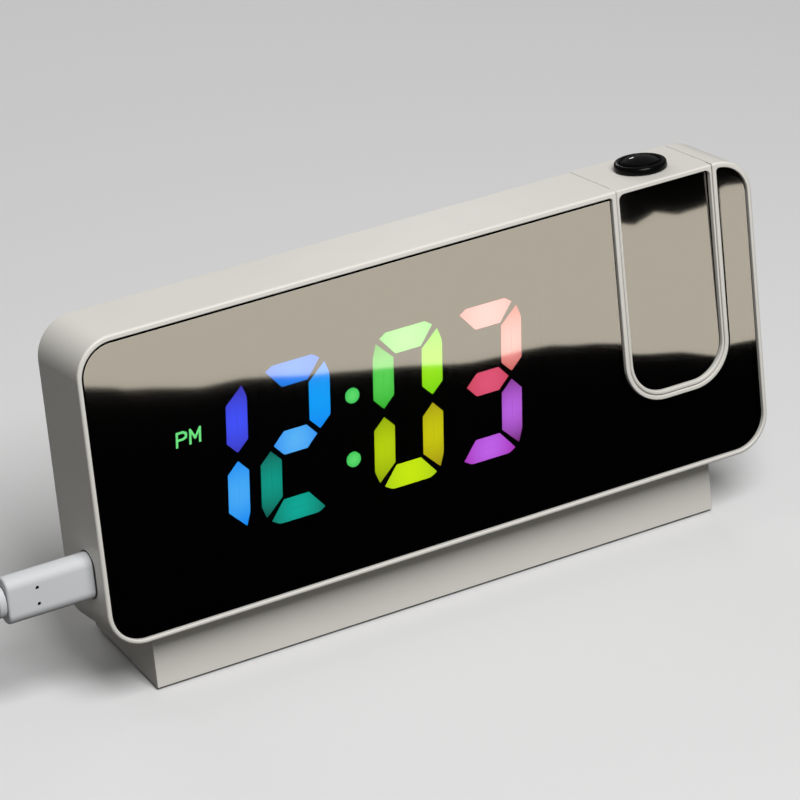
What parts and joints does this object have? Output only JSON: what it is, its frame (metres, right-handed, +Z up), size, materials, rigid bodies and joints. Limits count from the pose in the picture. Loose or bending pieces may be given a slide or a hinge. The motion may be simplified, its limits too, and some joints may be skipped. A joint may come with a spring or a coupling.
{
  "type": "projection alarm clock",
  "caption": "Slim mirror-faced digital alarm clock on a low stand, with a pull-down projector arm set into its front, rear buttons and a side power lead.",
  "frame": {"origin": "middle of the clock's footprint, on the surface that its feet stand on, without the lead", "axes": "+Z up, the display faces -Y and leans back 10.5 degrees, +X to the right seen from the front"},
  "size_m": [0.3162, 0.0576, 0.1009],
  "materials": {
    "shell_white": "fine satin moulding",
    "half_mirror": "dark half-silvered mirror",
    "black_plastic": "matt black moulding",
    "diffuser": "milky translucent moulding",
    "circuit_board": "green solder mask",
    "steel": "plated steel",
    "lens_black": "gloss black",
    "clear_glass": "clear polished",
    "lead_plastic": "satin white moulding",
    "lead_jacket": "soft white jacket",
    "foot_rubber": "matt grey rubber"
  },
  "bodies": {
    "body": {"housing": "shell_white", "rear_cover": "shell_white", "mirror_panel": "half_mirror", "display_mask": "black_plastic", "digit_diffuser_1": "diffuser", "digit_diffuser_2": "diffuser", "digit_diffuser_3": "diffuser", "digit_diffuser_4": "diffuser", "colon_diffuser": "diffuser", "indicator_diffuser": "diffuser", "light_reflector": "diffuser", "main_board": "circuit_board", "battery_holder": "black_plastic", "coin_cell": "steel", "speaker": "black_plastic", "cover_screw_1": "steel", "cover_screw_2": "steel", "cover_screw_3": "steel", "cover_screw_4": "steel", "cover_screw_5": "steel", "cover_screw_6": "steel", "usb_socket": "steel", "usb_board": "circuit_board", "stand_front": "shell_white", "stand_rear": "shell_white", "stand_plate": "shell_white", "stand_screw_1": "steel", "stand_screw_2": "steel", "rubber_foot_1": "foot_rubber", "rubber_foot_2": "foot_rubber", "rubber_foot_3": "foot_rubber", "rubber_foot_4": "foot_rubber", "plug_tongue": "steel", "plug_body": "lead_plastic", "strain_relief": "lead_plastic", "cord_tube": "lead_jacket", "cord_coil": "lead_jacket", "cord_tie": "black_plastic", "usb_a_body": "lead_plastic", "usb_a_shell": "steel"},
    "arm": {"arm_front": "shell_white", "arm_rear": "shell_white", "arm_mirror": "half_mirror", "arm_screw_1": "steel", "arm_screw_2": "steel", "hinge_pin_left": "steel", "hinge_pin_right": "steel", "projector_board": "circuit_board", "condenser_lens": "clear_glass", "projector_lcd": "clear_glass", "lens_barrel": "black_plastic"},
    "focus": {"focus_ring": "lens_black"},
    "lens": {"lens_cell": "lens_black", "projector_lens": "lens_black"},
    "battery_door": {"battery_door": "shell_white"},
    "button_mode": {"button_mode": "shell_white"},
    "button_up": {"button_up": "shell_white"},
    "button_down": {"button_down": "shell_white"},
    "button_alarm": {"button_alarm": "shell_white"},
    "button_light": {"button_light": "shell_white"}
  },
  "joints": [
    {"name": "arm_tilt", "type": "hinge", "parent": "body", "child": "arm", "pos_m": [0.0723, -0.00882, 0.05465], "axis": [1, 0, 0], "range_deg": [0, 105]},
    {"name": "focus_turn", "type": "hinge", "parent": "arm", "child": "focus", "pos_m": [0.0723, 0.00587, 0.09769], "axis": [0, 0.1822, 0.9833], "range_deg": [-90, 90]},
    {"name": "lens_slide", "type": "slide", "parent": "arm", "child": "lens", "axis": [0, 0.1822, 0.9833], "range_m": [-0.0006, 0.0006]},
    {"name": "battery_door_turn", "type": "hinge", "parent": "body", "child": "battery_door", "pos_m": [0.012, 0.00771, 0.04619], "axis": [0, 0.9833, -0.1822], "range_deg": [0, 45]},
    {"name": "mode_press", "type": "slide", "parent": "body", "child": "button_mode", "axis": [0, -0.9833, 0.1822], "range_m": [0, 0.0008], "stiffness_N_per_m": 1500},
    {"name": "up_press", "type": "slide", "parent": "body", "child": "button_up", "axis": [0, -0.9833, 0.1822], "range_m": [0, 0.0008], "stiffness_N_per_m": 1500},
    {"name": "down_press", "type": "slide", "parent": "body", "child": "button_down", "axis": [0, -0.9833, 0.1822], "range_m": [0, 0.0008], "stiffness_N_per_m": 1500},
    {"name": "alarm_press", "type": "slide", "parent": "body", "child": "button_alarm", "axis": [0, -0.9833, 0.1822], "range_m": [0, 0.0008], "stiffness_N_per_m": 1500},
    {"name": "light_press", "type": "slide", "parent": "body", "child": "button_light", "axis": [0, -0.9833, 0.1822], "range_m": [0, 0.0008], "stiffness_N_per_m": 1500}
  ],
  "couplings": [
    {"joint": "focus_turn", "follows": "lens_slide", "rad_per_m": 2618}
  ]
}
